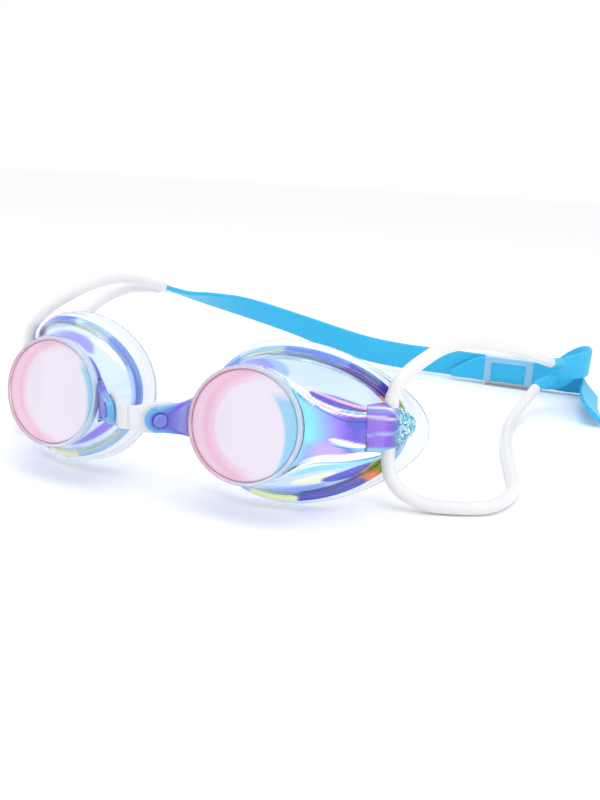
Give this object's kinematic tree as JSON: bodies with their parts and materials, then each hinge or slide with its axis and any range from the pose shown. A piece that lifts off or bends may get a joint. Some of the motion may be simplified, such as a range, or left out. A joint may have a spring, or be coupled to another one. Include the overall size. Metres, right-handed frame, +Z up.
{
  "type": "swim goggles",
  "caption": "Swim goggles with two mirrored eye cups, soft seals, a flexible nose bridge, round side cords and a flat head band held by a rear buckle.",
  "frame": {"origin": "on the surface that the goggles lie on, under the middle of the object without its cords", "axes": "+Z up from the surface, the lenses face -Y, +X is the wearer's left"},
  "size_m": [0.182, 0.1854, 0.0468],
  "materials": {
    "frosted_silicone": "frosted translucent white silicone",
    "mirror_lens": "rose mirror coating on polycarbonate",
    "clear_frame": "clear polycarbonate with an iridescent blue and violet coating",
    "clear_silicone": "clear glossy silicone",
    "white_cord": "smooth white silicone",
    "blue_band": "satin sky-blue silicone",
    "clear_buckle": "clear polycarbonate"
  },
  "bodies": {
    "bridge": {"nose_bridge": "frosted_silicone"},
    "left_cup": {"left_lens": "mirror_lens", "left_frame": "clear_frame", "left_gasket": "clear_silicone"},
    "right_cup": {"right_lens": "mirror_lens", "right_frame": "clear_frame", "right_gasket": "clear_silicone"},
    "left_strap": {"left_cord": "white_cord", "left_band": "blue_band"},
    "right_strap": {"right_cord": "white_cord", "right_band": "blue_band"},
    "buckle": {"rear_buckle": "clear_buckle"}
  },
  "joints": [
    {"name": "left_fold", "type": "hinge", "parent": "bridge", "child": "left_cup", "pos_m": [-0.0189, -0.0915, 0.0236], "axis": [0, 0, 1], "range_deg": [-1, 10], "stiffness_Nm_per_rad": 0.02, "deforming": ["nose_bridge"]},
    {"name": "right_fold", "type": "hinge", "parent": "bridge", "child": "right_cup", "pos_m": [-0.0249, -0.0915, 0.0236], "axis": [0, 0, -1], "range_deg": [-1, 10], "stiffness_Nm_per_rad": 0.02},
    {"name": "left_strap_turn", "type": "hinge", "parent": "left_cup", "child": "left_strap", "pos_m": [0.0354, -0.0589, 0.0216], "axis": [0, 0, 1], "range_deg": [-10, 1]},
    {"name": "right_strap_turn", "type": "hinge", "parent": "right_cup", "child": "right_strap", "pos_m": [-0.0792, -0.0589, 0.0216], "axis": [0, 0, -1], "range_deg": [-10, 1]},
    {"name": "buckle_slide", "type": "slide", "parent": "right_strap", "child": "buckle", "axis": [1, 0, 0], "range_m": [-0.007, 0.003]}
  ],
  "couplings": [
    {"joint": "right_fold", "follows": "left_fold", "ratio": 1},
    {"joint": "left_strap_turn", "follows": "left_fold", "ratio": -1},
    {"joint": "right_strap_turn", "follows": "left_fold", "ratio": -1},
    {"joint": "buckle_slide", "follows": "left_fold", "m_per_rad": -0.03716}
  ]
}
